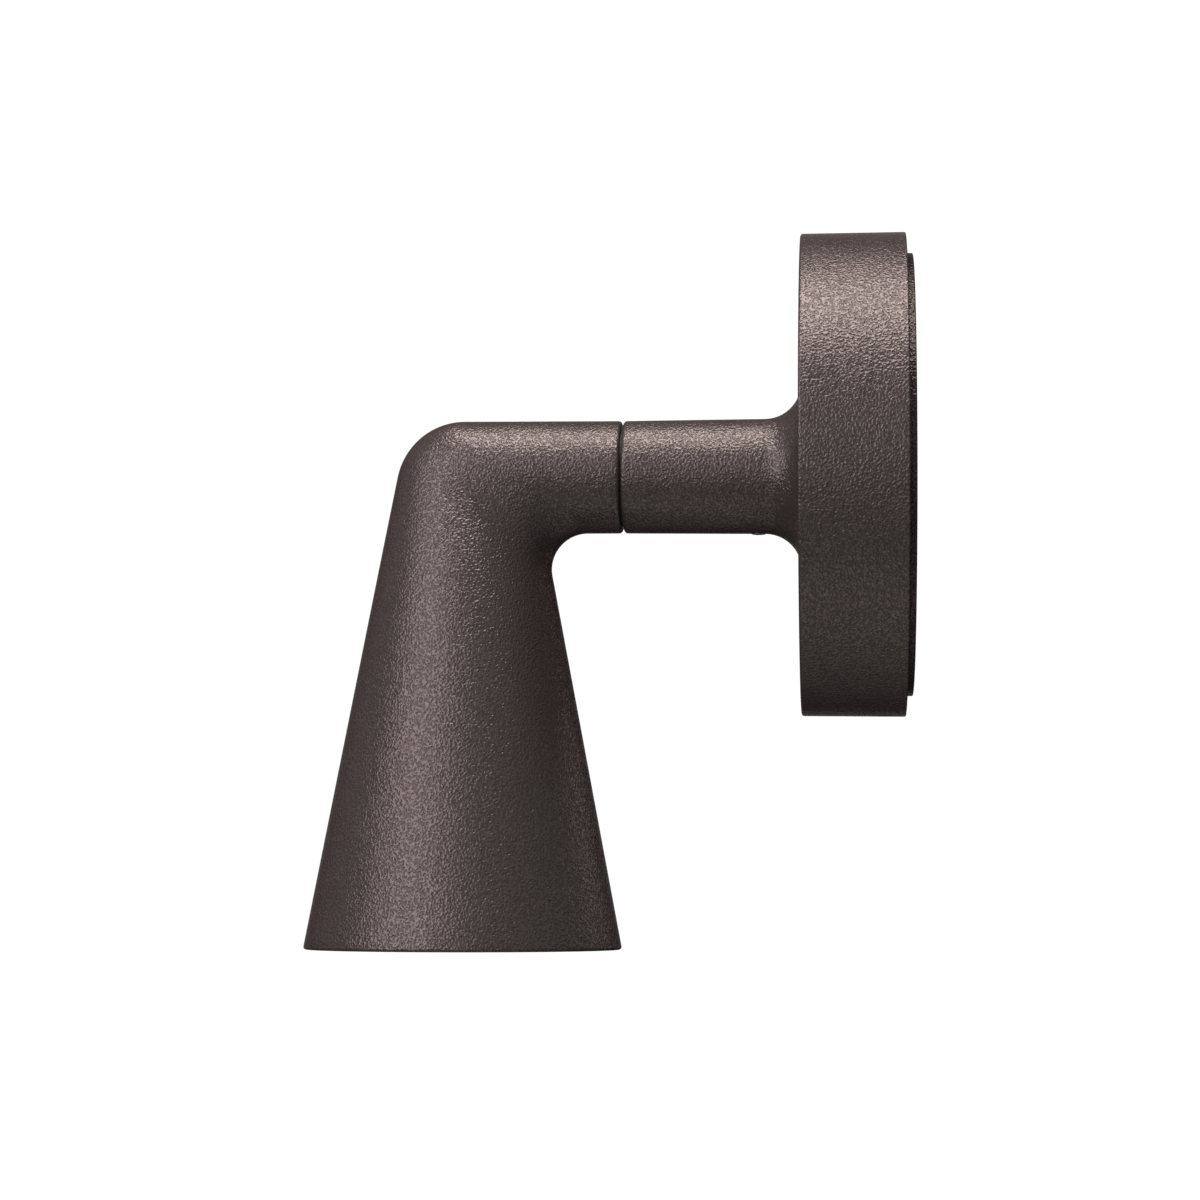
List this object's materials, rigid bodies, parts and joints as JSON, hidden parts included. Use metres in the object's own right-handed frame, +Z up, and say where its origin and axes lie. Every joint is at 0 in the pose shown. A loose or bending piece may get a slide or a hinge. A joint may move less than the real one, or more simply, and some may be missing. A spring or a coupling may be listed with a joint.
{
  "type": "wall spotlight",
  "caption": "Wall spotlight: round base with a stem, and a cone-shaped downlight head on an elbow that swivels about the stem's axis.",
  "frame": {"origin": "centre of the wall plate's face that lies on the wall", "axes": "+Z up, +Y into the wall; the stem and the swivel axis lie on -Y and the head points down at rest"},
  "size_m": [0.1074, 0.1353, 0.1592],
  "materials": {
    "bronze_coat": "dark bronze powder coat with a fine wrinkled texture, satin",
    "plate_coat": "dark bronze powder coat with a fine wrinkled texture, satin",
    "black_coat": "black matt powder coat",
    "foam_black": "closed-cell foam",
    "rubber_black": "matt rubber",
    "polymer_dark": "dark low-friction plastic",
    "block_cream": "moulded cream plastic",
    "driver_white": "moulded white plastic",
    "brass": "turned brass",
    "zinc_steel": "zinc-plated steel",
    "black_steel": "blackened stainless steel",
    "bare_aluminium": "machined aluminium",
    "bright_aluminium": "bright anodised aluminium",
    "pad_grey": "soft thermal pad",
    "board_white": "white solder-masked board",
    "phosphor": "yellow phosphor in silicone",
    "holder_white": "moulded white plastic",
    "clear_glass": "clear tempered glass",
    "lead_black": "silicone sheath",
    "wire_brown": "brown insulation",
    "wire_blue": "blue insulation",
    "wire_earth": "green and yellow insulation"
  },
  "bodies": {
    "base": {"wall_plate": "plate_coat", "wall_gasket": "foam_black", "cable_grommet": "rubber_black", "terminal_block": "block_cream", "terminal_clamps": "brass", "terminal_screws": "zinc_steel", "terminal_block_screws": "zinc_steel", "driver": "driver_white", "driver_screws": "zinc_steel", "earth_terminal": "brass", "earth_washer": "zinc_steel", "earth_screw": "brass", "base_housing": "bronze_coat", "housing_seal": "rubber_black", "housing_lock_screw": "black_steel", "friction_washer": "polymer_dark", "stop_pin": "zinc_steel", "base_lead": "lead_black", "live_lead": "wire_brown", "neutral_lead": "wire_blue", "earth_lead": "wire_earth"},
    "head": {"head_casting": "bronze_coat", "swivel_shaft": "brass", "shaft_o_rings": "rubber_black", "stop_washer": "zinc_steel", "spring_washer": "zinc_steel", "swivel_nut": "brass", "cable_bush": "polymer_dark", "heat_spreader": "bare_aluminium", "spreader_screws": "zinc_steel", "thermal_pad": "pad_grey", "led_board": "board_white", "led_emitter": "phosphor", "led_holder": "holder_white", "led_holder_screws": "zinc_steel", "reflector": "bright_aluminium", "glass_gasket": "rubber_black", "front_glass": "clear_glass", "bezel_ring": "black_coat", "head_lead": "lead_black"},
    "lock_screw": {"lock_screw": "black_steel"}
  },
  "joints": [
    {"name": "head_swivel", "type": "hinge", "parent": "base", "child": "head", "pos_m": [0, -0.06453, 0], "axis": [0, 1, 0], "range_deg": [-170, 170]},
    {"name": "lock_screw_travel", "type": "slide", "parent": "base", "child": "lock_screw", "axis": [0, 0, -1], "range_m": [0, 0.001]}
  ]
}
